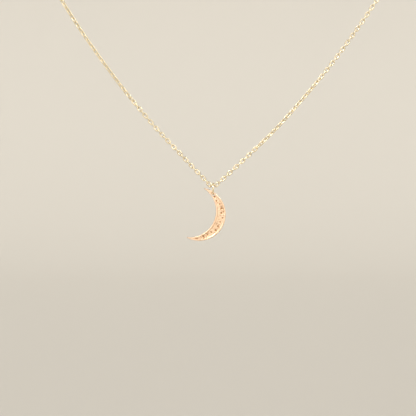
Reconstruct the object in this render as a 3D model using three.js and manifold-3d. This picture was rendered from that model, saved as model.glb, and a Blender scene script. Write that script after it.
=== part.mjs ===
// A fine cable-chain necklace with a hammered crescent pendant, lobster clasp and extender.
// Millimetres, +Z up, front towards -Y. The origin is the nape point that a neck or peg carries.
import * as THREE from "three";
import Module from "manifold-3d";
import { mergeVertices } from "three/addons/utils/BufferGeometryUtils.js";

const wasm = await Module();
wasm.setup();
const { Manifold, Mesh } = wasm;

// Fine cable chain: oval links, drawn here as one round strand with a real link at each end
const chainThickness = 1.25;
const linkLength = 1.9;
const linkWidth = 1.25;
const linkWire = 0.33;
const play = 0.03;

// Lowest point of the loop, where the pendant hangs
const low = { x: -1.6, z: -148.3 };

// Routes from beside the pendant up to the nape
const leftRoute = [
  [-2.95, -147.7], [-9.7, -140.6], [-17.3, -132.5], [-24.5, -124.0], [-31.3, -115.1], [-37.7, -106.0],
  [-43.7, -96.6], [-49.5, -87.0], [-54.4, -77.1], [-57.2, -66.3], [-57.9, -55.2], [-56.5, -44.1],
  [-53.0, -33.6], [-47.5, -23.9], [-40.3, -15.4], [-31.6, -8.4], [-21.7, -3.3], [-13.0, -0.6], [-10.2, 0],
];
const rightRoute = [
  [-0.25, -147.75], [7.1, -141.0], [15.2, -133.2], [22.8, -124.8], [30.0, -116.1], [36.7, -107.1],
  [43.1, -97.8], [49.1, -88.3], [54.0, -78.1], [57.1, -67.3], [58.0, -56.1], [56.7, -44.9],
  [53.2, -34.1], [47.8, -24.3], [40.6, -15.6], [31.8, -8.6], [21.8, -3.4], [13.0, -0.6], [10.2, 0],
];
const strandSteps = 40;

// Jump ring that carries the pendant
const bailRadius = 1.5;
const bailWire = 0.25;

// Crescent pendant, as two arcs of the same radius
const crescentArc = 7.27;
const crescentShift = [2.68, -0.94];
const crescentThickness = 1.0;
const hangHole = 0.42;
const holeInCrescent = [3.8, 5.44];

// Lobster clasp
const clasp = {
  tailHole: -6.65, tailHoleRadius: 0.7, tailRadius: 1.25, tailThickness: 0.8,
  hookCentre: 1.5, hookRadius: 1.95, hookWire: 0.55,
  bodyThickness: 2.0, slot: 0.9, leverThickness: 0.8,
  rivet: [-1.75, 1.35], rivetRadius: 0.32, rivetHead: 0.55,
};

// Rings at the nape
const leftRing = { x: -8.2, radius: 1.35, wire: 0.25 };
const hookRing = { x: 4.32, radius: 1.7, wire: 0.25 };
const rightRing = { x: 7.44, radius: 2.0, wire: 0.3 };

// Extender
const extenderLinks = 20;
const extender = { half: 1.5, halfWidth: 1.0, wire: 0.25, play: 0.05 };
const dropRing = { radius: 1.1, wire: 0.22 };

const group = new THREE.Group();

const colours = { rose: 0xe8b58f, pale: 0xead2a2, steel: 0xb8b8b4 };

function add(name, geometry, colour) {
  const skin = new THREE.MeshStandardMaterial({ color: colour, metalness: 0.9, roughness: 0.3 });
  const mesh = new THREE.Mesh(geometry, skin);
  mesh.name = name;
  group.add(mesh);
  return mesh;
}

function clean(geometry) {
  const g = geometry.clone();
  g.deleteAttribute("normal");
  g.deleteAttribute("uv");
  return mergeVertices(g, 1e-4);
}

function solid(geometry) {
  const g = clean(geometry);
  const index = g.index ? g.index.array : Array.from({ length: g.attributes.position.count }, (_, i) => i);
  return new Manifold(new Mesh({
    numProp: 3,
    vertProperties: new Float32Array(g.attributes.position.array),
    triVerts: new Uint32Array(index),
  }));
}

function shape(body) {
  const m = body.getMesh();
  const g = new THREE.BufferGeometry();
  const points = new Float32Array(m.numVert * 3);
  for (let i = 0; i < m.numVert; i++)
    for (let k = 0; k < 3; k++) points[i * 3 + k] = m.vertProperties[i * m.numProp + k];
  g.setAttribute("position", new THREE.BufferAttribute(points, 3));
  g.setIndex(new THREE.BufferAttribute(new Uint32Array(m.triVerts), 1));
  g.computeVertexNormals();
  return g;
}

// A flat outline in X and Z, given a thickness along Y about y = 0
function plate(outline, thickness, bevel = 0) {
  const g = new THREE.ExtrudeGeometry(outline, {
    depth: thickness - 2 * bevel, bevelEnabled: bevel > 0, bevelThickness: bevel, bevelSize: bevel,
    bevelOffset: -bevel, bevelSegments: 1, curveSegments: 24, steps: 1,
  });
  g.translate(0, 0, -(thickness - 2 * bevel) / 2);
  g.rotateX(Math.PI / 2);
  return g;
}

// A closed smooth outline through the given points
function smoothOutline(points, steps) {
  const curve = new THREE.CatmullRomCurve3(points.map(([x, z]) => new THREE.Vector3(x, z, 0)), true, "centripetal");
  const outline = new THREE.Shape();
  for (let i = 0; i < steps; i++) {
    const p = curve.getPoint(i / steps);
    if (i) outline.lineTo(p.x, p.y);
    else outline.moveTo(p.x, p.y);
  }
  outline.closePath();
  return outline;
}

function cylinderY(radius, length, x, z, sides = 24) {
  const g = new THREE.CylinderGeometry(radius, radius, length, sides);
  g.translate(x, 0, z);
  return g;
}

// An oval or round loop of wire in the X-Z plane about the origin, long side along Z
function loop(half, halfWidth, wire, around = 16, sides = 6) {
  const straight = Math.max(half - halfWidth, 0);
  const points = [];
  for (let i = 0; i < around; i++) {
    const t = ((i + 0.5) / around) * 2 * Math.PI;
    points.push([halfWidth * Math.cos(t), halfWidth * Math.sin(t) + straight * Math.sign(Math.sin(t))]);
  }
  const position = [];
  const index = [];
  for (let i = 0; i < around; i++) {
    const a = points[(i + around - 1) % around];
    const b = points[(i + 1) % around];
    const run = Math.hypot(b[0] - a[0], b[1] - a[1]);
    const out = [(b[1] - a[1]) / run, -(b[0] - a[0]) / run];
    for (let j = 0; j < sides; j++) {
      const u = ((j + 0.5) / sides) * 2 * Math.PI;
      position.push(
        points[i][0] + wire * Math.cos(u) * out[0],
        wire * Math.sin(u),
        points[i][1] + wire * Math.cos(u) * out[1],
      );
      const n = ((i + 1) % around) * sides;
      const k = (j + 1) % sides;
      index.push(i * sides + j, i * sides + k, n + j, n + j, i * sides + k, n + k);
    }
  }
  const g = new THREE.BufferGeometry();
  g.setAttribute("position", new THREE.Float32BufferAttribute(position, 3));
  g.setIndex(index);
  g.computeVertexNormals();
  return g;
}

// A strand through the route, joined to the real link at each end of it
function strand(route, links) {
  const path = new THREE.CatmullRomCurve3(
    route.map(([x, z]) => new THREE.Vector3(x, 0, z)), false, "centripetal");
  const section = new THREE.Shape();
  for (let i = 0; i < 8; i++) {
    const t = ((i + 0.5) / 8) * 2 * Math.PI;
    const r = chainThickness / 2;
    if (i) section.lineTo(r * Math.cos(t), r * Math.sin(t));
    else section.moveTo(r * Math.cos(t), r * Math.sin(t));
  }
  section.closePath();
  let body = solid(new THREE.ExtrudeGeometry(section, {
    steps: strandSteps, extrudePath: path, bevelEnabled: false,
  }));
  for (const l of links) body = body.add(solid(l));
  return shape(body);
}

function chainLink(x, z, lean, flat) {
  const g = loop((linkLength - linkWire) / 2, (linkWidth - linkWire) / 2, linkWire / 2, 16, 6);
  if (flat) g.rotateZ(Math.PI / 2);
  g.rotateY(lean);
  g.translate(x, 0, z);
  return g;
}

// Chain, with the flat link at the bottom that the pendant's ring goes round
const lowReach = (linkLength - linkWire) / 2;
const centre = loop(lowReach, (linkWidth - linkWire) / 2, linkWire / 2);
centre.rotateY(Math.PI / 2);
centre.rotateX(Math.PI / 2);
centre.translate(low.x, 0, low.z);
add("centre_link", centre, colours.pale);

// The first link on each arm holds the end of the centre link
const leftSlope = Math.atan2(1, 0.95);
const rightSlope = Math.atan2(1, 1.05);
const grip = linkWire + play;
const hold = lowReach - grip;
const leftLow = [low.x - lowReach - hold * Math.cos(leftSlope), low.z + hold * Math.sin(leftSlope)];
const rightLow = [low.x + lowReach + hold * Math.cos(rightSlope), low.z + hold * Math.sin(rightSlope)];
const leftTop = [leftRing.x - leftRing.radius + leftRing.wire + linkWire / 2 + play - lowReach, 0];
const rightTop = [rightRing.x + rightRing.radius - rightRing.wire - linkWire / 2 - play + lowReach, 0];
add("chain_left", strand(leftRoute, [
  chainLink(leftLow[0], leftLow[1], leftSlope - Math.PI / 2, false),
  chainLink(leftTop[0], leftTop[1], Math.PI / 2, false),
]), colours.pale);
add("chain_right", strand(rightRoute, [
  chainLink(rightLow[0], rightLow[1], Math.PI / 2 - rightSlope, false),
  chainLink(rightTop[0], rightTop[1], Math.PI / 2, true),
]), colours.pale);

// Pendant ring, standing front to back round the centre link
const bailDrop = 0.92;
const bailZ = low.z - bailDrop;
const bail = new THREE.TorusGeometry(bailRadius, bailWire, 8, 32);
bail.rotateY(Math.PI / 2);
bail.translate(low.x, 0, bailZ);
add("bail_ring", bail, colours.pale);

// Crescent: the disc, less the disc beside it, with the hanging hole near its upper tip
const curveRise = bailRadius - Math.sqrt(bailRadius ** 2 - (crescentThickness / 2) ** 2);
const holeDrop = hangHole - bailWire - curveRise - play;
const holeZ = bailZ - bailRadius - holeDrop;
const arcX = low.x - holeInCrescent[0];
const arcZ = holeZ - holeInCrescent[1];
const d = Math.hypot(crescentShift[0], crescentShift[1]);
const facing = Math.atan2(crescentShift[1], crescentShift[0]);
const reach = Math.acos(-d / 2 / crescentArc);
const tipTrim = 0.035;
const moon = new THREE.Shape();
const arcSteps = 36;
for (let i = 0; i <= arcSteps; i++) {
  const t = facing - reach + tipTrim + ((2 * (reach - tipTrim)) * i) / arcSteps;
  const p = [arcX + crescentArc * Math.cos(t), arcZ + crescentArc * Math.sin(t)];
  if (i) moon.lineTo(p[0], p[1]);
  else moon.moveTo(p[0], p[1]);
}
const inner = Math.PI - reach;
for (let i = 0; i <= arcSteps; i++) {
  const t = facing + inner - tipTrim - ((2 * (inner - tipTrim)) * i) / arcSteps;
  moon.lineTo(arcX - crescentShift[0] + crescentArc * Math.cos(t), arcZ - crescentShift[1] + crescentArc * Math.sin(t));
}
moon.closePath();
const hangingHole = cylinderY(hangHole, 3, low.x, holeZ, 20);
add("crescent_pendant", shape(solid(plate(moon, crescentThickness, 0)).subtract(solid(hangingHole))), colours.rose);

// Nape rings
function flatRing(r) {
  const g = new THREE.TorusGeometry(r.radius, r.wire, 8, 32);
  g.translate(r.x, 0, 0);
  return g;
}
add("left_end_ring", flatRing(leftRing), colours.pale);
add("hook_ring", flatRing(hookRing), colours.pale);
const upright = new THREE.TorusGeometry(rightRing.radius, rightRing.wire, 8, 32);
upright.rotateX(Math.PI / 2);
upright.translate(rightRing.x, 0, 0);
add("right_end_ring", upright, colours.pale);

// Clasp body: hook, hollow heel with a slot for the lever, and the flat tail
function tubeXZ(points, radius, sides = 10) {
  const position = [];
  const index = [];
  const n = points.length;
  for (let i = 0; i < n; i++) {
    const a = points[Math.max(i - 1, 0)];
    const b = points[Math.min(i + 1, n - 1)];
    const run = Math.hypot(b[0] - a[0], b[1] - a[1]);
    const out = [(b[1] - a[1]) / run, -(b[0] - a[0]) / run];
    const r = typeof radius === "function" ? radius(i / (n - 1)) : radius;
    for (let j = 0; j < sides; j++) {
      const u = ((j + 0.5) / sides) * 2 * Math.PI;
      position.push(points[i][0] + r * Math.cos(u) * out[0], r * Math.sin(u), points[i][1] + r * Math.cos(u) * out[1]);
    }
  }
  for (let i = 0; i < n - 1; i++)
    for (let j = 0; j < sides; j++) {
      const k = (j + 1) % sides;
      index.push(i * sides + j, i * sides + k, (i + 1) * sides + j);
      index.push((i + 1) * sides + j, i * sides + k, (i + 1) * sides + k);
    }
  for (let j = 1; j < sides - 1; j++) {
    index.push(0, j + 1, j);
    index.push((n - 1) * sides, (n - 1) * sides + j, (n - 1) * sides + j + 1);
  }
  const g = new THREE.BufferGeometry();
  g.setAttribute("position", new THREE.Float32BufferAttribute(position, 3));
  g.setIndex(index);
  return g;
}
const hookFrom = -165;
const hookTo = 70;
const hookLine = [];
for (let i = 0; i <= 30; i++) {
  const t = THREE.MathUtils.degToRad(hookFrom + ((hookTo - hookFrom) * i) / 30);
  hookLine.push([clasp.hookCentre + clasp.hookRadius * Math.cos(t), clasp.hookRadius * Math.sin(t)]);
}
const hook = tubeXZ(hookLine, (s) => clasp.hookWire * (s > 0.75 ? 1 - 0.35 * ((s - 0.75) / 0.25) : 1), 10);
const [rx, rz] = clasp.rivet;
// Round pucks with softened rims, wrapped in one skin, and hollowed where the hook's opening is
function puck(x, z, radius) {
  const half = clasp.bodyThickness / 2;
  return Manifold.hull([[radius, half - 0.32], [radius - 0.1, half - 0.12], [radius - 0.3, half]].map(
    ([r, h]) => solid(cylinderY(r, 2 * h, x, z, 32))));
}
const heel = Manifold.hull([[-5.1, 0, 0.72], [-3.3, -0.2, 1.38], [-1.65, -0.35, 1.6], [rx, rz, 0.66]].map(
  ([x, z, r]) => puck(x, z, r))).subtract(solid(cylinderY(clasp.hookRadius - clasp.hookWire, 4, clasp.hookCentre, 0, 48)));
const tail = new THREE.Shape();
tail.absarc(clasp.tailHole, 0, clasp.tailRadius, 0, 2 * Math.PI, false);
const neck = new THREE.Shape();
[[-6.4, -0.62], [-5.2, -0.75], [-5.2, 0.75], [-6.4, 0.62]].forEach(([x, z], i) => (i ? neck.lineTo(x, z) : neck.moveTo(x, z)));
neck.closePath();
const slotCut = new THREE.BoxGeometry(3.6, clasp.slot, 3.2);
slotCut.translate(-1.4, 0, 1.2);
const leverPocket = new THREE.BoxGeometry(1.2, clasp.slot, 2.2);
leverPocket.translate(-0.3, 0, 0.9);
const claspBody = heel
  .add(solid(hook))
  .add(solid(plate(tail, clasp.tailThickness, 0.12)))
  .add(solid(plate(neck, clasp.tailThickness, 0)))
  .subtract(solid(slotCut))
  .subtract(solid(leverPocket))
  .subtract(solid(cylinderY(clasp.tailHoleRadius, 3, clasp.tailHole, 0, 20)))
  .subtract(solid(cylinderY(clasp.rivetRadius + play, 4, rx, rz, 20)));
add("clasp_body", shape(claspBody), colours.pale);

// Lever: a bar that closes the hook from inside, with a thumb tab that is pushed in to open it
const tipAngle = THREE.MathUtils.degToRad(hookTo - 6);
const tipReach = clasp.hookRadius - clasp.hookWire * 0.65 - 0.14;
const tip = [clasp.hookCentre + tipReach * Math.cos(tipAngle), tipReach * Math.sin(tipAngle)];
const lever = smoothOutline([[tip[0] - 0.02, tip[1] - 0.22], [tip[0] - 0.02, tip[1] - 0.04], [tip[0] - 0.28, tip[1] + 0.1],
  [tip[0] - 0.62, tip[1] + 0.32], [1.0, 2.12], [0.62, 2.4], [0.42, 2.86], [0.02, 3.05], [-0.34, 2.86], [-0.6, 2.42],
  [rx + 0.5, rz + 0.74], [rx - 0.05, rz + 0.62], [rx - 0.52, rz + 0.3], [rx - 0.6, rz - 0.2], [rx - 0.25, rz - 0.56],
  [rx + 0.4, rz - 0.52], [rx + 1.4, rz - 0.2], [rx + 2.6, rz - 0.16]], 72);
add("clasp_lever", shape(solid(plate(lever, clasp.leverThickness))
  .subtract(solid(cylinderY(clasp.rivetRadius + play, 4, rx, rz, 20)))), colours.pale);

const headProfile = [
  [0, -clasp.bodyThickness / 2 - 0.22], [clasp.rivetHead * 0.6, -clasp.bodyThickness / 2 - 0.18],
  [clasp.rivetHead, -clasp.bodyThickness / 2 - 0.04], [clasp.rivetRadius, -clasp.bodyThickness / 2 - 0.04],
  [clasp.rivetRadius, clasp.bodyThickness / 2 + 0.04], [clasp.rivetHead, clasp.bodyThickness / 2 + 0.04],
  [clasp.rivetHead * 0.6, clasp.bodyThickness / 2 + 0.18], [0, clasp.bodyThickness / 2 + 0.22],
].map(([r, y]) => new THREE.Vector2(r, y));
const rivet = new THREE.LatheGeometry(headProfile, 16);
rivet.translate(rx, 0, rz);
add("clasp_rivet", rivet, colours.pale);

// Spring: a fine bent wire that rests in the slot and holds the lever up
const springLine = [[-2.95, 0.3], [-2.85, -0.1], [-2.4, -0.22], [-1.8, -0.15], [-1.35, 0.15], [-1.12, 0.45], [-1.02, 0.72]];
const springPath = [];
const springCurve = new THREE.CatmullRomCurve3(springLine.map(([x, z]) => new THREE.Vector3(x, 0, z)));
for (let i = 0; i <= 20; i++) {
  const p = springCurve.getPoint(i / 20);
  springPath.push([p.x, p.z]);
}
add("clasp_spring", shape(solid(tubeXZ(springPath, 0.14, 8))), colours.steel);

// Extender: links hang in turn, the first across the end ring
const pitch = 2 * extender.half - 2 * extender.wire - extender.play;
const firstTop = -rightRing.radius + rightRing.wire + extender.wire + extender.play;
for (let i = 0; i < extenderLinks; i++) {
  const g = loop(extender.half, extender.halfWidth, extender.wire, 16, 6);
  if (i % 2 === 0) g.rotateZ(Math.PI / 2);
  g.translate(rightRing.x, 0, firstTop - extender.half - i * pitch);
  add(`extender_link_${String(i + 1).padStart(2, "0")}`, g, colours.pale);
}

// Small drop that ends the extender
const lastBottom = firstTop - 2 * extender.half - (extenderLinks - 1) * pitch;
const dropRingZ = lastBottom + extender.wire + dropRing.wire + extender.play - dropRing.radius;
const dropLoop = new THREE.TorusGeometry(dropRing.radius, dropRing.wire, 8, 24);
dropLoop.rotateY(Math.PI / 2);
dropLoop.translate(rightRing.x, 0, dropRingZ);
add("drop_ring", dropLoop, colours.pale);
const eye = { radius: 0.62, wire: 0.2 };
const eyeZ = dropRingZ - dropRing.radius + dropRing.wire + eye.wire + 0.06 - eye.radius;
const eyeLoop = new THREE.TorusGeometry(eye.radius, eye.wire, 8, 20);
eyeLoop.rotateX(Math.PI / 2);
eyeLoop.translate(rightRing.x, 0, eyeZ);
const dropProfile = [[0, 0], [0.22, -0.05], [0.42, -0.8], [0.85, -1.9], [1.3, -3.0], [1.45, -3.8], [1.3, -4.6],
  [0.85, -5.15], [0.35, -5.4], [0, -5.45]].map(([r, y]) => new THREE.Vector2(r, y));
const tear = new THREE.LatheGeometry(dropProfile.reverse(), 18);
tear.rotateX(Math.PI / 2);
tear.translate(rightRing.x, 0, eyeZ - eye.radius);
add("end_drop", shape(solid(eyeLoop).add(solid(tear))), colours.rose);

export default group;
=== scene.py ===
"""Fine cable-chain necklace with a hammered crescent pendant, laid out as an add-on and run as a script."""

import math

import bmesh
import bpy
from mathutils import Matrix, Vector, noise


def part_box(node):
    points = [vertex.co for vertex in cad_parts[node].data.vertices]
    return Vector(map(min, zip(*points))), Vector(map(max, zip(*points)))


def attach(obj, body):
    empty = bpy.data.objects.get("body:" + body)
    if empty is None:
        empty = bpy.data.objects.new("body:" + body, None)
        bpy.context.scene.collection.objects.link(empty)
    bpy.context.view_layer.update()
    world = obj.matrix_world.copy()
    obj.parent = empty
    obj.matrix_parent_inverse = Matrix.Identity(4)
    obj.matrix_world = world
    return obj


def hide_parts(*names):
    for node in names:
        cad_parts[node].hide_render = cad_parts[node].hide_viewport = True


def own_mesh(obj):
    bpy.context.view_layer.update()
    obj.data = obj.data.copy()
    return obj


bl_info = {
    "name": "Crescent Necklace",
    "version": (1, 0, 0),
    "blender": (4, 5, 0),
    "location": "3D View > Sidebar > Necklace",
    "description": "Builds a fine chain necklace with a hammered crescent pendant",
    "category": "Add Mesh",
}

MM = 0.001
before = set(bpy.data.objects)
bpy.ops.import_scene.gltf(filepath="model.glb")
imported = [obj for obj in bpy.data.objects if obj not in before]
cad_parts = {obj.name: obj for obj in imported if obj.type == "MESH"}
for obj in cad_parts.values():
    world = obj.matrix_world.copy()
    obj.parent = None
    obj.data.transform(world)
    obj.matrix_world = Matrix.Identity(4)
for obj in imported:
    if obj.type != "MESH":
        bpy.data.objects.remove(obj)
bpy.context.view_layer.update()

# Where the strands run, from beside the pendant up to the nape
LEFT_ROUTE = [
    (-2.95, -147.7), (-9.7, -140.6), (-17.3, -132.5), (-24.5, -124.0), (-31.3, -115.1),
    (-37.7, -106.0), (-43.7, -96.6), (-49.5, -87.0), (-54.4, -77.1), (-57.2, -66.3),
    (-57.9, -55.2), (-56.5, -44.1), (-53.0, -33.6), (-47.5, -23.9), (-40.3, -15.4),
    (-31.6, -8.4), (-21.7, -3.3), (-13.0, -0.6), (-10.2, 0.0),
]
RIGHT_ROUTE = [
    (-0.25, -147.75), (7.1, -141.0), (15.2, -133.2), (22.8, -124.8), (30.0, -116.1),
    (36.7, -107.1), (43.1, -97.8), (49.1, -88.3), (54.0, -78.1), (57.1, -67.3),
    (58.0, -56.1), (56.7, -44.9), (53.2, -34.1), (47.8, -24.3), (40.6, -15.6),
    (31.8, -8.6), (21.8, -3.4), (13.0, -0.6), (10.2, 0.0),
]
LOW = Vector((-1.6, 0.0, -148.3)) * MM
LEFT_RING_EDGE, RIGHT_RING_EDGE = -9.30 * MM, 9.14 * MM
JUMP_RING_GAP = 3.0

# The links at which each strand starts and ends its two eighth turns, counted from the pendant
LEFT_TWIST = {"Twist From": 22.0, "Twist Full": 29.0, "Untwist From": 60.0, "Untwist Full": 90.0}
RIGHT_TWIST = {"Twist From": 10.0, "Twist Full": 15.0, "Untwist From": 32.0, "Untwist Full": 37.0}

EXTENDER_BODIES = (("extender_upper", 1, 7), ("extender_middle", 8, 14), ("extender_lower", 15, 20))


def size(name, text, value, low=0.0):
    return bpy.props.FloatProperty(name=name, description=text, default=value, min=low,
                                   subtype="DISTANCE", unit="LENGTH", precision=5)


def tint(name, text, value):
    return bpy.props.FloatVectorProperty(name=name, description=text, default=value, size=3,
                                         min=0.0, max=1.0, subtype="COLOR")


class ChainSizes(bpy.types.PropertyGroup):
    link_length: size("Link length", "Outside length of one oval link", 1.9 * MM)
    link_width: size("Link width", "Outside width of one oval link", 1.25 * MM)
    link_wire: size("Link wire", "Thickness of the link wire", 0.33 * MM)
    pitch: size("Pitch", "Distance from one link to the next", 1.178 * MM)
    ease: size("Ease", "Gap left where two links meet", 0.03 * MM)


class PendantSizes(bpy.types.PropertyGroup):
    arc_radius: size("Arc radius", "Radius of both edges of the crescent", 7.27 * MM)
    thickness: size("Thickness", "Thickness of the crescent", 1.0 * MM)
    rim: size("Rim", "Width of the smooth edge round the hammered field", 0.36 * MM)
    field_depth: size("Field depth", "How far the field lies below the rim", 0.12 * MM)
    dent: size("Dent", "Depth of the hammer marks", 0.17 * MM)
    dent_spacing: size("Dent spacing", "Distance between hammer marks", 0.92 * MM)
    ring_radius: size("Ring radius", "Radius of the hanging ring at its wire's middle", 1.5 * MM)
    ring_wire: size("Ring wire", "Thickness of the hanging ring's wire", 0.5 * MM)


class FinishColours(bpy.types.PropertyGroup):
    pale_gold: tint("Pale gold", "Chain, rings and clasp", (0.97, 0.74, 0.47))
    rose_gold: tint("Rose gold", "Crescent and end drop", (0.90, 0.67, 0.48))
    spring_steel: tint("Spring steel", "Clasp spring", (0.55, 0.55, 0.53))
    backdrop: tint("Backdrop", "Floor and wall", (0.66, 0.63, 0.575))


# ---------------------------------------------------------------- finishes

def plated_metal(name, colour, shade, roughness, grain, bump, wear, shade_dents=False):
    """Plated metal: a slow colour drift, fine polishing grain and softened, slightly worn spots; for dented
    metal also painted shade darkening the dents.
    """
    mat = bpy.data.materials.get(name)
    if mat:
        return mat
    mat = bpy.data.materials.new(name)
    mat.use_nodes = True
    t = mat.node_tree
    t.nodes.clear()
    out = t.nodes.new("ShaderNodeOutputMaterial")
    bsdf = t.nodes.new("ShaderNodeBsdfPrincipled")
    bsdf.inputs["Metallic"].default_value = 1.0
    bsdf.inputs["IOR"].default_value = 1.45
    place = t.nodes.new("ShaderNodeTexCoord")
    drift = t.nodes.new("ShaderNodeTexNoise")
    drift.inputs["Scale"].default_value = 420.0
    drift.inputs["Detail"].default_value = 3.0
    fine = t.nodes.new("ShaderNodeTexNoise")
    fine.inputs["Scale"].default_value = grain
    fine.inputs["Detail"].default_value = 5.0
    fine.inputs["Roughness"].default_value = 0.62
    for n in (drift, fine):
        t.links.new(place.outputs["Object"], n.inputs["Vector"])
    mix = t.nodes.new("ShaderNodeMix")
    mix.data_type = "RGBA"
    mix.inputs[6].default_value = (*shade, 1.0)
    mix.inputs[7].default_value = (*colour, 1.0)
    ramp = t.nodes.new("ShaderNodeValToRGB")
    ramp.color_ramp.elements[0].position = 0.30
    ramp.color_ramp.elements[1].position = 0.62
    t.links.new(drift.outputs["Fac"], ramp.inputs["Fac"])
    t.links.new(ramp.outputs["Color"], mix.inputs[0])
    skin = mix.outputs[2]
    rough = t.nodes.new("ShaderNodeMapRange")
    rough.inputs["From Min"].default_value = 0.3
    rough.inputs["From Max"].default_value = 0.7
    rough.inputs["To Min"].default_value = roughness
    rough.inputs["To Max"].default_value = roughness + wear
    t.links.new(fine.outputs["Fac"], rough.inputs["Value"])
    dull = rough.outputs["Result"]
    if shade_dents:
        # Painted shade: the vertex attribute darkens the dents and the recessed field towards a deep brown
        # and makes them rougher
        depth = t.nodes.new("ShaderNodeAttribute")
        depth.attribute_name = "dent"
        pit_shade_mix = t.nodes.new("ShaderNodeMix")
        pit_shade_mix.data_type = "RGBA"
        pit_shade_mix.inputs[7].default_value = (0.42, 0.22, 0.09, 1.0)
        t.links.new(skin, pit_shade_mix.inputs[6])
        t.links.new(depth.outputs["Fac"], pit_shade_mix.inputs[0])
        skin = pit_shade_mix.outputs[2]
        add = t.nodes.new("ShaderNodeMath")
        add.operation = "MULTIPLY_ADD"
        add.inputs[1].default_value = 0.25
        t.links.new(depth.outputs["Fac"], add.inputs[0])
        t.links.new(dull, add.inputs[2])
        dull = add.outputs["Value"]
    t.links.new(skin, bsdf.inputs["Base Color"])
    t.links.new(dull, bsdf.inputs["Roughness"])
    lift = t.nodes.new("ShaderNodeBump")
    lift.inputs["Strength"].default_value = bump
    lift.inputs["Distance"].default_value = 0.00004
    t.links.new(fine.outputs["Fac"], lift.inputs["Height"])
    t.links.new(lift.outputs["Normal"], bsdf.inputs["Normal"])
    t.links.new(bsdf.outputs["BSDF"], out.inputs["Surface"])
    return mat


def pale_gold():
    c = bpy.context.scene.necklace_finish.pale_gold
    return plated_metal("pale_gold", c, (c[0] * 0.80, c[1] * 0.66, c[2] * 0.50), roughness=0.12,
                        grain=9000.0, bump=0.18, wear=0.14)


def rose_gold():
    c = bpy.context.scene.necklace_finish.rose_gold
    return plated_metal("rose_gold", c, (c[0] * 0.88, c[1] * 0.78, c[2] * 0.66), roughness=0.24,
                        grain=6000.0, bump=0.35, wear=0.2)


def spring_steel():
    c = bpy.context.scene.necklace_finish.spring_steel
    return plated_metal("spring_steel", c, (c[0] * 0.7, c[1] * 0.7, c[2] * 0.7), roughness=0.3,
                        grain=12000.0, bump=0.3, wear=0.15)


def hammered_rose_gold():
    """Rose gold whose recessed field is duller, with painted shade darkening the dents and the field, from
    the mesh's own attribute.
    """
    c = bpy.context.scene.necklace_finish.rose_gold
    return plated_metal("hammered_rose_gold", c, (c[0] * 0.93, c[1] * 0.86, c[2] * 0.78), roughness=0.26,
                        grain=6000.0, bump=0.35, wear=0.2, shade_dents=True)


def backdrop_finish():
    mat = bpy.data.materials.get("backdrop")
    if mat:
        return mat
    mat = bpy.data.materials.new("backdrop")
    mat.use_nodes = True
    bsdf = mat.node_tree.nodes["Principled BSDF"]
    bsdf.inputs["Base Color"].default_value = (*bpy.context.scene.necklace_finish.backdrop, 1.0)
    bsdf.inputs["Roughness"].default_value = 1.0
    bsdf.inputs["Specular IOR Level"].default_value = 0.0
    return mat


# ---------------------------------------------------------------- shapes

def keep(name, mesh, material):
    obj = bpy.data.objects.new(name, mesh)
    bpy.context.collection.objects.link(obj)
    mesh.materials.clear()
    mesh.materials.append(material)
    mesh.polygons.foreach_set("use_smooth", [True] * len(mesh.polygons))
    mesh.update()
    return obj


def spline_points(route, step):
    """Points a fixed distance apart on a smooth curve through the route, both ends included."""
    p = [Vector((x, 0.0, z)) * MM for x, z in route]
    p = [p[0] * 2 - p[1]] + p + [p[-1] * 2 - p[-2]]
    dense = []
    for i in range(1, len(p) - 2):
        t = [0.0]
        for j in range(3):
            t.append(t[-1] + math.sqrt((p[i + j] - p[i + j - 1]).length))
        for k in range(24):
            u = t[1] + (t[2] - t[1]) * k / 24
            a = [p[i - 1 + j] * ((t[j + 1] - u) / (t[j + 1] - t[j]))
                 + p[i + j] * ((u - t[j]) / (t[j + 1] - t[j])) for j in range(3)]
            b = [a[j] * ((t[j + 2] - u) / (t[j + 2] - t[j]))
                 + a[j + 1] * ((u - t[j]) / (t[j + 2] - t[j])) for j in range(2)]
            dense.append(b[0] * ((t[2] - u) / (t[2] - t[1])) + b[1] * ((u - t[1]) / (t[2] - t[1])))
    dense.append(p[-2])
    far = [0.0]
    for a, b in zip(dense, dense[1:]):
        far.append(far[-1] + (b - a).length)
    count = max(2, round(far[-1] / step) + 1)
    made, k = [], 0
    for i in range(count):
        want = far[-1] * i / (count - 1)
        while k < len(far) - 2 and far[k + 1] < want:
            k += 1
        made.append(dense[k].lerp(dense[k + 1], (want - far[k]) / (far[k + 1] - far[k])))
    return made, far[-1]


def wire_loop(half, half_width, wire, around=48, sides=12, split=0.0):
    """An oval or round loop of wire in the X-Z plane; split is the gap of a jump ring, in degrees."""
    straight = max(half - half_width, 0.0)
    bm = bmesh.new()
    rows = []
    turns = around + 1 if split else around
    for i in range(turns):
        if split:
            a = math.radians(split / 2 + (360 - split) * i / around)
        else:
            a = 2 * math.pi * (i + 0.5) / around
        c, s = math.cos(a), math.sin(a)
        rise = straight * (1 if s > 0 else -1)
        row = []
        for j in range(sides):
            u = 2 * math.pi * j / sides
            r = half_width + wire * math.cos(u)
            row.append(bm.verts.new((r * c, wire * math.sin(u), r * s + rise)))
        rows.append(row)
    pairs = zip(rows, rows[1:]) if split else zip(rows, rows[1:] + rows[:1])
    for a, b in pairs:
        for j in range(sides):
            k = (j + 1) % sides
            bm.faces.new((a[j], a[k], b[k], b[j]))
    if split:
        bm.faces.new(rows[0])
        bm.faces.new(rows[-1])
    bmesh.ops.recalc_face_normals(bm, faces=bm.faces)
    mesh = bpy.data.meshes.new("wire_loop")
    bm.to_mesh(mesh)
    bm.free()
    return mesh


def placed(mesh, at, turn=None):
    mesh.transform(Matrix.Translation(at) @ (turn or Matrix.Identity(4)))
    return mesh


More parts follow.
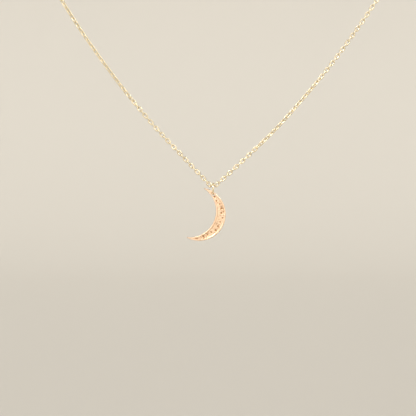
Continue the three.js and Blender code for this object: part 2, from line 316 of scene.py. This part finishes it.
def link_tree():
    """Geometry Nodes: oval wire links along a path, every second one turned a quarter round it."""
    name = "links_along_path"
    if name in bpy.data.node_groups:
        return bpy.data.node_groups[name]
    t = bpy.data.node_groups.new(name, "GeometryNodeTree")
    face = t.interface
    face.new_socket("Geometry", in_out="INPUT", socket_type="NodeSocketGeometry")

    def inp(label, kind, value):
        s = face.new_socket(label, in_out="INPUT", socket_type=kind)
        s.default_value = value
    inp("Count", "NodeSocketInt", 10)
    inp("Half Length", "NodeSocketFloat", 0.8 * MM)
    inp("Half Width", "NodeSocketFloat", 0.46 * MM)
    inp("Wire Radius", "NodeSocketFloat", 0.165 * MM)
    inp("First Turn", "NodeSocketFloat", 0.0)
    inp("Twist From", "NodeSocketFloat", 18.0)
    inp("Twist Full", "NodeSocketFloat", 24.0)
    inp("Untwist From", "NodeSocketFloat", 34.0)
    inp("Untwist Full", "NodeSocketFloat", 42.0)
    inp("Twist", "NodeSocketFloat", 0.0)
    inp("Wobble", "NodeSocketFloat", 0.06)
    inp("Ring Steps", "NodeSocketInt", 16)
    inp("Wire Sides", "NodeSocketInt", 8)
    face.new_socket("Material", in_out="INPUT", socket_type="NodeSocketMaterial")
    face.new_socket("Geometry", in_out="OUTPUT", socket_type="NodeSocketGeometry")
    N, L = t.nodes, t.links
    gi, go = N.new("NodeGroupInput"), N.new("NodeGroupOutput")

    def math_node(op, a, b=None, c=None):
        n = N.new("ShaderNodeMath")
        n.operation = op
        for i, v in enumerate((a, b, c)):
            if v is None:
                continue
            if isinstance(v, (int, float)):
                n.inputs[i].default_value = v
            else:
                L.new(v, n.inputs[i])
        return n.outputs[0]

    def smooth(v, a, b, lo, hi):
        n = N.new("ShaderNodeMapRange")
        n.interpolation_type = "SMOOTHSTEP"
        for key, x in (("Value", v), ("From Min", a), ("From Max", b), ("To Min", lo), ("To Max", hi)):
            if isinstance(x, (int, float)):
                n.inputs[key].default_value = x
            else:
                L.new(x, n.inputs[key])
        return n.outputs["Result"]

    # One oval link, long way along Z
    ring = N.new("GeometryNodeCurvePrimitiveCircle")
    L.new(gi.outputs["Ring Steps"], ring.inputs["Resolution"])
    L.new(gi.outputs["Half Width"], ring.inputs["Radius"])
    pos = N.new("GeometryNodeInputPosition")
    parts = N.new("ShaderNodeSeparateXYZ")
    L.new(pos.outputs[0], parts.inputs[0])
    side = math_node("SIGN", math_node("ADD", parts.outputs["Y"], 1e-6))
    straight = math_node("SUBTRACT", gi.outputs["Half Length"], gi.outputs["Half Width"])
    shift = N.new("ShaderNodeCombineXYZ")
    L.new(math_node("MULTIPLY", side, straight), shift.inputs["Y"])
    stretch = N.new("GeometryNodeSetPosition")
    L.new(ring.outputs["Curve"], stretch.inputs["Geometry"])
    L.new(shift.outputs[0], stretch.inputs["Offset"])
    stand = N.new("GeometryNodeTransform")
    stand.inputs["Rotation"].default_value = (math.pi / 2, 0.0, 0.0)
    L.new(stretch.outputs[0], stand.inputs["Geometry"])
    section = N.new("GeometryNodeCurvePrimitiveCircle")
    L.new(gi.outputs["Wire Sides"], section.inputs["Resolution"])
    L.new(gi.outputs["Wire Radius"], section.inputs["Radius"])
    wire = N.new("GeometryNodeCurveToMesh")
    L.new(stand.outputs[0], wire.inputs["Curve"])
    L.new(section.outputs["Curve"], wire.inputs["Profile Curve"])

    # Points along the path
    to_curve = N.new("GeometryNodeMeshToCurve")
    L.new(gi.outputs["Geometry"], to_curve.inputs[0])
    points = N.new("GeometryNodeCurveToPoints")
    points.mode = "COUNT"
    L.new(to_curve.outputs[0], points.inputs["Curve"])
    L.new(gi.outputs["Count"], points.inputs["Count"])
    along = N.new("FunctionNodeAlignRotationToVector")
    along.axis = "Z"
    L.new(points.outputs["Tangent"], along.inputs["Vector"])
    level = N.new("FunctionNodeAlignRotationToVector")
    level.axis = "Y"
    level.pivot_axis = "Z"
    level.inputs["Vector"].default_value = (0.0, 1.0, 0.0)
    L.new(along.outputs[0], level.inputs["Rotation"])
    index = N.new("GeometryNodeInputIndex").outputs[0]
    quarter = math_node("MULTIPLY", math_node("MODULO", index, 2.0), math.pi / 2)
    twist = math_node("MULTIPLY", gi.outputs["Twist"], math_node(
        "ADD",
        smooth(index, gi.outputs["Twist From"], gi.outputs["Twist Full"], 0.0, 0.5),
        smooth(index, gi.outputs["Untwist From"], gi.outputs["Untwist Full"], 0.0, 0.5)))
    rand = N.new("FunctionNodeRandomValue")
    rand.data_type = "FLOAT"
    rand.inputs["Seed"].default_value = 7
    L.new(math_node("MULTIPLY", gi.outputs["Wobble"], -1.0), rand.inputs[2])
    L.new(gi.outputs["Wobble"], rand.inputs[3])
    turn = math_node("ADD", math_node("ADD", quarter, twist),
                     math_node("ADD", gi.outputs["First Turn"], rand.outputs[1]))
    spin = N.new("FunctionNodeAxisAngleToRotation")
    spin.inputs["Axis"].default_value = (0.0, 0.0, 1.0)
    L.new(turn, spin.inputs["Angle"])
    rotate = N.new("FunctionNodeRotateRotation")
    rotate.rotation_space = "LOCAL"
    L.new(level.outputs[0], rotate.inputs["Rotation"])
    L.new(spin.outputs[0], rotate.inputs["Rotate By"])
    inst = N.new("GeometryNodeInstanceOnPoints")
    L.new(points.outputs["Points"], inst.inputs["Points"])
    L.new(wire.outputs[0], inst.inputs["Instance"])
    L.new(rotate.outputs[0], inst.inputs["Rotation"])
    real = N.new("GeometryNodeRealizeInstances")
    L.new(inst.outputs[0], real.inputs[0])
    skin = N.new("GeometryNodeSetMaterial")
    L.new(real.outputs[0], skin.inputs["Geometry"])
    L.new(gi.outputs["Material"], skin.inputs["Material"])
    L.new(skin.outputs[0], go.inputs[0])
    return t


def links_on(name, path, settings):
    """Runs the link tree on a path of points and returns the plain mesh object it makes."""
    line = bpy.data.meshes.new(name + "_path")
    line.from_pydata(path, [(i, i + 1) for i in range(len(path) - 1)], [])
    obj = bpy.data.objects.new(name + "_path", line)
    bpy.context.collection.objects.link(obj)
    mod = obj.modifiers.new("links", "NODES")
    tree = link_tree()
    mod.node_group = tree
    for item in tree.interface.items_tree:
        if item.item_type == "SOCKET" and item.in_out == "INPUT" and item.name in settings:
            mod[item.identifier] = settings[item.name]
    deps = bpy.context.evaluated_depsgraph_get()
    mesh = bpy.data.meshes.new_from_object(obj.evaluated_get(deps))
    obj.modifiers.clear()
    bpy.data.objects.remove(obj)
    bm = bmesh.new()
    bm.from_mesh(mesh)
    bmesh.ops.recalc_face_normals(bm, faces=bm.faces)
    bm.to_mesh(mesh)
    bm.free()
    return keep(name, mesh, settings["Material"])


def softened(node, name, voxel, passes, material):
    """A cast-looking copy of a CAD node: merged, remeshed finely and smoothed."""
    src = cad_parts[node]
    mesh = src.data.copy()
    bm = bmesh.new()
    bm.from_mesh(mesh)
    bmesh.ops.remove_doubles(bm, verts=bm.verts, dist=1e-7)
    bmesh.ops.recalc_face_normals(bm, faces=bm.faces)
    bm.to_mesh(mesh)
    bm.free()
    obj = keep(name, mesh, material)
    m = obj.modifiers.new("remesh", "REMESH")
    m.mode = "VOXEL"
    m.voxel_size = voxel
    m.adaptivity = 0.0
    s = obj.modifiers.new("smooth", "SMOOTH")
    s.factor = 0.5
    s.iterations = passes
    deps = bpy.context.evaluated_depsgraph_get()
    done = bpy.data.meshes.new_from_object(obj.evaluated_get(deps))
    obj.modifiers.clear()
    obj.data = done
    done.materials.clear()
    done.materials.append(material)
    done.polygons.foreach_set("use_smooth", [True] * len(done.polygons))
    return obj


# ---------------------------------------------------------------- operators

class NECKLACE_OT_strands(bpy.types.Operator):
    """Makes the two strands of small oval links and the link between them"""
    bl_idname = "necklace.strands"
    bl_label = "Chain strands"

    def execute(self, context):
        s = context.scene.necklace_chain
        half = (s.link_length - s.link_wire) / 2
        wide = (s.link_width - s.link_wire) / 2
        grip = s.link_wire + s.ease
        gold = pale_gold()
        centre = placed(wire_loop(half, wide, s.link_wire / 2, 40, 12), LOW,
                        Matrix.Rotation(math.pi / 2, 4, "X") @ Matrix.Rotation(math.pi / 2, 4, "Y"))
        link = keep("centre_link_wire", centre, gold)
        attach(link, "chain")
        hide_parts("centre_link")
        for name, node, side, route, slope, ring_edge, twist in (
                ("chain_left_links", "chain_left", -1, LEFT_ROUTE, math.atan2(1, 0.95), LEFT_RING_EDGE,
                 LEFT_TWIST),
                ("chain_right_links", "chain_right", 1, RIGHT_ROUTE, math.atan2(1, 1.05), RIGHT_RING_EDGE,
                 RIGHT_TWIST)):
            reach = half - grip
            start = LOW + Vector((side * (half + reach * math.cos(slope)), 0, reach * math.sin(slope)))
            end_x = ring_edge - side * (s.link_wire / 2 + s.ease) + side * half
            line = [(start.x / MM, start.z / MM)] + route[1:-1] + [(end_x / MM, 0.0)]
            path, length = spline_points(line, s.pitch / 4)
            count = round(length / s.pitch) + 1
            want_even = side > 0
            if (count % 2 == 0) != want_even:
                count += 1
            links = links_on(name, path, {
                "Count": count, "Half Length": half, "Half Width": wide, "Wire Radius": s.link_wire / 2,
                "Twist": math.pi / 2, "Wobble": 0.07, "Ring Steps": 14, "Wire Sides": 7, "Material": gold,
                **twist})
            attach(links, "chain")
            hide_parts(node)
        return {"FINISHED"}


class NECKLACE_OT_bail(bpy.types.Operator):
    """Makes the jump ring that carries the pendant"""
    bl_idname = "necklace.bail"
    bl_label = "Hanging ring"

    def execute(self, context):
        s = context.scene.necklace_pendant
        lo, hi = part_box("bail_ring")
        ring = wire_loop(s.ring_radius, s.ring_radius, s.ring_wire / 2, 64, 14, split=JUMP_RING_GAP)
        turn = Matrix.Rotation(math.pi / 2, 4, "Z") @ Matrix.Rotation(math.radians(-35), 4, "Y")
        obj = keep("hanging_ring", placed(ring, (Vector(lo) + Vector(hi)) / 2, turn), pale_gold())
        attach(obj, "bail")
        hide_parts("bail_ring")
        return {"FINISHED"}


class NECKLACE_OT_crescent(bpy.types.Operator):
    """Makes the crescent with its smooth rim, hammered field and hanging hole"""
    bl_idname = "necklace.crescent"
    bl_label = "Crescent pendant"

    def execute(self, context):
        s = context.scene.necklace_pendant
        hole = Vector((LOW.x, 0, -150.774 * MM))
        outer = Vector((hole.x - 3.8 * MM, 0, hole.z - 5.44 * MM))
        inner = Vector((outer.x - 2.68 * MM, 0, outer.z + 0.94 * MM))
        shift = outer - inner
        d, R = shift.length, s.arc_radius
        facing = math.atan2(shift.z, shift.x)
        reach = math.acos(-d / 2 / R)
        trim = 0.035
        round_off = 0.10 * MM
        hole_radius = 0.42 * MM
        long_way, across = 320, 36
        bm = bmesh.new()
        # Per-vertex painted shade: how dark the front is drawn in the dents and the recessed field
        dents = bm.verts.layers.float.new("dent")

        # Deeper marks in a loose row down the middle of the field
        deep_marks = []
        for k in range(12):
            a = facing - reach + 2 * reach * (0.20 + 0.058 * k)
            out = R * (0.865 + 0.028 * math.sin(2.4 * k)) - 0.5 * MM * abs(k - 6) / 12
            deep_marks.append((outer + Vector((out * math.cos(a), 0, out * math.sin(a))),
                               (0.34 + 0.07 * math.cos(1.7 * k)) * MM))

        def height(p):
            e = min((p - inner).length - R, R - (p - outer).length)
            e = max(e, 0.0)
            edge = 0.14 * MM
            y = 0.0
            if e < edge:
                y += edge * 0.75 * (1 - math.sqrt(max(0.0, 1 - (1 - e / edge) ** 2)))
            field = min(1.0, max(0.0, (e - s.rim) / (0.12 * MM)))
            field = field * field * (3 - 2 * field)
            painted_pit_shade = 0.0
            if field > 0:
                at = Vector((p.x, 0, p.z))
                near, cells = noise.voronoi(at / s.dent_spacing, distance_metric="DISTANCE", exponent=2.5)
                lot = noise.cell(cells[0] * 7.3 + Vector((3.1, 1.7, 0.4)))
                lower = min(1.0, max(0.0, (p.x - outer.x + 1.5 * MM) / (2.5 * MM)))
                wide = 0.27 + 0.20 * abs(lot)
                bowl = max(0.0, 1 - (near[0] / wide) ** 2) ** 1.4 if abs(lot) > 0.62 - 0.2 * lower else 0.0
                bowl *= 0.6
                for mark, across_mark in deep_marks:
                    gap = (at - mark).length_squared / across_mark ** 2
                    if gap < 1:
                        bowl = max(bowl, (1 - gap) ** 1.3)
                beat = noise.noise(at / (0.9 * MM))
                speck = max(0.0, noise.noise(at / (0.26 * MM)) - 0.12) * (0.35 + 0.65 * lower)
                y += field * (s.field_depth + s.dent * (bowl + 0.22 * beat + 0.5 * speck))
                # Painted shade: darker in the hammer marks and specks, and slightly darker over the whole
                # recessed field
                painted_pit_shade = field * min(1.0, 0.05 + bowl + 0.9 * speck)
            else:
                y += 0.012 * MM * noise.noise(Vector((p.x, 0, p.z)) / (1.1 * MM))
            return y, painted_pit_shade

        front, back = [], []
        for i in range(long_way + 1):
            f = i / long_way
            a = facing - reach + trim + 2 * (reach - trim) * f
            inner_reach = math.pi - reach
            b = facing - inner_reach + trim + 2 * (inner_reach - trim) * f
            po = outer + Vector((R * math.cos(a), 0, R * math.sin(a)))
            pi = inner + Vector((R * math.cos(b), 0, R * math.sin(b)))
            row_f, row_b = [], []
            for j in range(across + 1):
                g = j / across
                g = g * g * (3 - 2 * g) * 0.35 + g * 0.65
                p = pi.lerp(po, g)
                y, painted_pit_shade = height(p)
                v = bm.verts.new((p.x, -s.thickness / 2 + y, p.z))
                v[dents] = painted_pit_shade
                row_f.append(v)
                e = max(0.0, min((p - inner).length - R, R - (p - outer).length))
                yb = 0.0
                if e < round_off:
                    yb = round_off * 0.7 * (1 - math.sqrt(max(0.0, 1 - (1 - e / round_off) ** 2)))
                w = bm.verts.new((p.x, s.thickness / 2 - yb, p.z))
                w[dents] = 0.0
                row_b.append(w)
            front.append(row_f)
            back.append(row_b)
        for i in range(long_way):
            for j in range(across):
                bm.faces.new((front[i][j], front[i + 1][j], front[i + 1][j + 1], front[i][j + 1]))
                bm.faces.new((back[i][j], back[i][j + 1], back[i + 1][j + 1], back[i + 1][j]))
            for j in (0, across):
                bm.faces.new((front[i][j], back[i][j], back[i + 1][j], front[i + 1][j]))
        for i in (0, long_way):
            for j in range(across):
                bm.faces.new((front[i][j], back[i][j], back[i][j + 1], front[i][j + 1]))
        bmesh.ops.recalc_face_normals(bm, faces=bm.faces)
        mesh = bpy.data.meshes.new("crescent_hammered")
        bm.to_mesh(mesh)
        bm.free()
        obj = keep("crescent_hammered", mesh, hammered_rose_gold())
        cutter_mesh = bpy.data.meshes.new("hole_cutter")
        cm = bmesh.new()
        bmesh.ops.create_cone(cm, cap_ends=True, segments=48, radius1=hole_radius, radius2=hole_radius,
                              depth=4 * MM,
                              matrix=Matrix.Translation(hole) @ Matrix.Rotation(math.pi / 2, 4, "X"))
        cm.to_mesh(cutter_mesh)
        cm.free()
        cutter = bpy.data.objects.new("hole_cutter", cutter_mesh)
        context.collection.objects.link(cutter)
        cut = obj.modifiers.new("hole", "BOOLEAN")
        cut.operation = "DIFFERENCE"
        cut.solver = "EXACT"
        cut.object = cutter
        deps = context.evaluated_depsgraph_get()
        done = bpy.data.meshes.new_from_object(obj.evaluated_get(deps))
        obj.modifiers.clear()
        obj.data = done
        bpy.data.objects.remove(cutter)
        done.materials.clear()
        done.materials.append(hammered_rose_gold())
        done.polygons.foreach_set("use_smooth", [True] * len(done.polygons))
        done.set_sharp_from_angle(angle=math.radians(50))
        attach(obj, "pendant")
        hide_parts("crescent_pendant")
        return {"FINISHED"}


class NECKLACE_OT_nape_rings(bpy.types.Operator):
    """Makes the jump rings either side of the clasp"""
    bl_idname = "necklace.nape_rings"
    bl_label = "Nape rings"

    def execute(self, context):
        quarter = Matrix.Rotation(math.pi / 2, 4, "X")
        for node, radius, wire, turn in (
                ("left_end_ring", 1.35, 0.25, quarter @ Matrix.Rotation(math.radians(70), 4, "Y")),
                ("hook_ring", 1.7, 0.25, quarter @ Matrix.Rotation(math.radians(-60), 4, "Y")),
                ("right_end_ring", 2.0, 0.30, Matrix.Rotation(math.radians(-50), 4, "Y"))):
            lo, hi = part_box(node)
            mesh = wire_loop(radius * MM, radius * MM, wire * MM, 64, 14, split=JUMP_RING_GAP)
            obj = keep(node + "_wire", placed(mesh, (Vector(lo) + Vector(hi)) / 2, turn), pale_gold())
            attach(obj, "chain")
            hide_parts(node)
        return {"FINISHED"}


class NECKLACE_OT_clasp(bpy.types.Operator):
    """Makes the lobster clasp with its lever, rivet and spring"""
    bl_idname = "necklace.clasp"
    bl_label = "Lobster clasp"

    def execute(self, context):
        for node, name, voxel, passes, body in (
                ("clasp_body", "clasp_body_cast", 0.055, 6, "clasp"),
                ("clasp_lever", "clasp_lever_cast", 0.05, 4, "lever"),
                ("clasp_rivet", "clasp_rivet_turned", 0.045, 3, "clasp")):
            obj = softened(node, name, voxel * MM, passes, pale_gold())
            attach(obj, body)
            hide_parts(node)
        spring = softened("clasp_spring", "clasp_spring_wire", 0.04 * MM, 2, spring_steel())
        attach(spring, "clasp")
        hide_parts("clasp_spring")
        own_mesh(spring)
        return {"FINISHED"}


class NECKLACE_OT_extender(bpy.types.Operator):
    """Makes the extender's larger links, one mesh for each length that moves together"""
    bl_idname = "necklace.extender"
    bl_label = "Extender chain"

    def execute(self, context):
        for body, first, last in EXTENDER_BODIES:
            a = [Vector(v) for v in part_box("extender_link_%02d" % first)]
            b = [Vector(v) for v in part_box("extender_link_%02d" % last)]
            top, bottom = (a[0] + a[1]) / 2, (b[0] + b[1]) / 2
            # a Y-Z link first where the number is odd, then every second one the other way
            first_turn = math.pi / 2 if first % 2 else 0.0
            links = links_on(body + "_links", [top, bottom], {
                "Count": last - first + 1, "Half Length": 1.5 * MM, "Half Width": 1.0 * MM,
                "Wire Radius": 0.25 * MM, "First Turn": first_turn, "Twist": 0.0, "Wobble": 0.0,
                "Ring Steps": 24, "Wire Sides": 10, "Material": pale_gold()})
            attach(links, body)
            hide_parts(*["extender_link_%02d" % i for i in range(first, last + 1)])
        return {"FINISHED"}


class NECKLACE_OT_drop(bpy.types.Operator):
    """Makes the small drop and its ring at the extender's end"""
    bl_idname = "necklace.drop"
    bl_label = "End drop"

    def execute(self, context):
        lo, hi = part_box("drop_ring")
        ring = wire_loop(1.1 * MM, 1.1 * MM, 0.22 * MM, 48, 12, split=4.0)
        turn = Matrix.Rotation(math.pi / 2, 4, "Z") @ Matrix.Rotation(math.radians(20), 4, "Y")
        obj = keep("drop_ring_wire", placed(ring, (Vector(lo) + Vector(hi)) / 2, turn), pale_gold())
        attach(obj, "drop")
        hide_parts("drop_ring")
        drop = softened("end_drop", "end_drop_cast", 0.07 * MM, 5, rose_gold())
        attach(drop, "drop")
        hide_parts("end_drop")
        return {"FINISHED"}


def panel_of_light(name, at, aim, w, h, power, colour, spread=180):
    """An area light that shows in the metal but leaves matt surfaces alone."""
    data = bpy.data.lights.new(name, "AREA")
    data.spread = math.radians(spread)
    data.shape = "RECTANGLE"
    data.size, data.size_y = w, h
    data.energy = power
    data.color = colour
    obj = bpy.data.objects.new(name, data)
    obj.visible_diffuse = False
    bpy.context.collection.objects.link(obj)
    obj.location = at
    obj.rotation_mode = "QUATERNION"
    obj.rotation_quaternion = (Vector(aim) - Vector(at)).to_track_quat("-Z", "Y")


def distant_light(name, heading, power, spread):
    data = bpy.data.lights.new(name, "SUN")
    data.energy, data.angle, data.color = power, math.radians(spread), (1.0, 0.98, 0.94)
    obj = bpy.data.objects.new(name, data)
    bpy.context.collection.objects.link(obj)
    obj.rotation_mode = "QUATERNION"
    obj.rotation_quaternion = Vector(heading).to_track_quat("-Z", "Y")


class NECKLACE_OT_stage(bpy.types.Operator):
    """Sets the camera, the pale floor and wall, and soft studio light"""
    bl_idname = "necklace.stage"
    bl_label = "Stage and camera"

    def execute(self, context):
        cam = bpy.data.cameras.new("camera")
        cam.lens = 85.0
        cam.sensor_width = 36.0
        cam.clip_start, cam.clip_end = 0.005, 20.0
        eye = bpy.data.objects.new("camera", cam)
        context.collection.objects.link(eye)
        view_wide = 114.3 * MM
        away = view_wide * cam.lens / cam.sensor_width
        eye.location = (-3.0 * MM, -away, -154.5 * MM)
        eye.rotation_euler = (math.pi / 2, 0, 0)
        context.scene.camera = eye

        bm = bmesh.new()
        near_y, wide, bend, floor_z, wall_y, wall_top = -7.0, 6.0, 1.5, -0.24, 2.4, 4.0
        bend_steps = 24
        section = [(near_y, floor_z)]
        for i in range(bend_steps + 1):
            a = math.pi / 2 * i / bend_steps
            section.append((wall_y - bend + bend * math.sin(a), floor_z + bend - bend * math.cos(a)))
        section.append((wall_y, wall_top))
        rows = [[bm.verts.new((x, y, z)) for y, z in section] for x in (-wide, wide)]
        for i in range(len(section) - 1):
            bm.faces.new((rows[0][i], rows[1][i], rows[1][i + 1], rows[0][i + 1]))
        mesh = bpy.data.meshes.new("floor_sweep")
        bm.to_mesh(mesh)
        bm.free()
        floor = keep("floor_sweep", mesh, backdrop_finish())

        world = bpy.data.worlds.new("studio")
        context.scene.world = world
        world.use_nodes = True
        t = world.node_tree
        bg = t.nodes["Background"]
        bg.inputs["Strength"].default_value = 1.0
        place = t.nodes.new("ShaderNodeTexCoord")
        parts = t.nodes.new("ShaderNodeSeparateXYZ")
        sky = t.nodes.new("ShaderNodeValToRGB")
        t.links.new(place.outputs["Generated"], parts.inputs["Vector"])
        t.links.new(parts.outputs["Z"], sky.inputs["Fac"])
        t.links.new(sky.outputs["Color"], bg.inputs["Color"])
        near_ground, above, overhead = (0.57, 0.525, 0.465), (0.10, 0.095, 0.085), (0.07, 0.07, 0.072)
        steps = ((0.0, near_ground), (0.17, near_ground), (0.24, above), (1.0, overhead))
        ramp = sky.color_ramp
        ramp.elements[0].position, ramp.elements[1].position = steps[0][0], steps[-1][0]
        ramp.elements[0].color, ramp.elements[1].color = (*steps[0][1], 1.0), (*steps[-1][1], 1.0)
        for at, colour in steps[1:-1]:
            ramp.elements.new(at).color = (*colour, 1.0)
        distant_light("sun", (0.5, 0.60, -0.86), 2.05, 24)
        distant_light("second_sun", (-0.62, 0.60, -0.80), 1.15, 24)
        warm = (1.0, 0.98, 0.95)
        panel_of_light("front", (-0.2, -2.3, 0.28), (-0.2, 0, 0.28), 1.6, 1.0, 1.75, warm, spread=80)
        panel_of_light("key", (-1.25, -1.35, 0.42), (0, 0, 0.1), 0.5, 1.3, 6.5, warm)
        panel_of_light("fill", (1.2, -1.35, 0.45), (0, 0, 0.1), 0.5, 1.3, 6.5, warm)
        panel_of_light("bounce", (0.0, -0.32, -0.236), (0, -0.30, 0), 0.7, 0.5, 0.75, (1.0, 0.98, 0.94))
        panel_of_light("behind", (-0.9, 1.1, 1.0), (0, 0, -0.1), 0.8, 0.25, 2.2, (1.0, 1.0, 1.0))
        context.scene.view_settings.view_transform = "Standard"
        return {"FINISHED"}


class NECKLACE_PT_panel(bpy.types.Panel):
    """Lists the pieces of the necklace"""
    bl_idname = "NECKLACE_PT_panel"
    bl_label = "Crescent Necklace"
    bl_space_type = "VIEW_3D"
    bl_region_type = "UI"
    bl_category = "Necklace"

    def draw(self, context):
        layout = self.layout
        for op in OPERATORS:
            layout.operator(op.bl_idname)
        scene = context.scene
        for group in (scene.necklace_chain, scene.necklace_pendant, scene.necklace_finish):
            for key in group.__annotations__:
                layout.prop(group, key)


OPERATORS = (
    NECKLACE_OT_stage, NECKLACE_OT_strands, NECKLACE_OT_bail, NECKLACE_OT_crescent,
    NECKLACE_OT_nape_rings, NECKLACE_OT_clasp, NECKLACE_OT_extender, NECKLACE_OT_drop,
)
GROUPS = (ChainSizes, PendantSizes, FinishColours)


def register():
    for c in GROUPS + OPERATORS + (NECKLACE_PT_panel,):
        bpy.utils.register_class(c)
    bpy.types.Scene.necklace_chain = bpy.props.PointerProperty(type=ChainSizes)
    bpy.types.Scene.necklace_pendant = bpy.props.PointerProperty(type=PendantSizes)
    bpy.types.Scene.necklace_finish = bpy.props.PointerProperty(type=FinishColours)


def unregister():
    del bpy.types.Scene.necklace_finish
    del bpy.types.Scene.necklace_pendant
    del bpy.types.Scene.necklace_chain
    for c in reversed(GROUPS + OPERATORS + (NECKLACE_PT_panel,)):
        bpy.utils.unregister_class(c)


def main():
    register()
    bpy.ops.necklace.stage()
    bpy.ops.necklace.strands()
    bpy.ops.necklace.bail()
    bpy.ops.necklace.crescent()
    bpy.ops.necklace.nape_rings()
    bpy.ops.necklace.clasp()
    bpy.ops.necklace.extender()
    bpy.ops.necklace.drop()


if __name__ == "__main__":
    main()
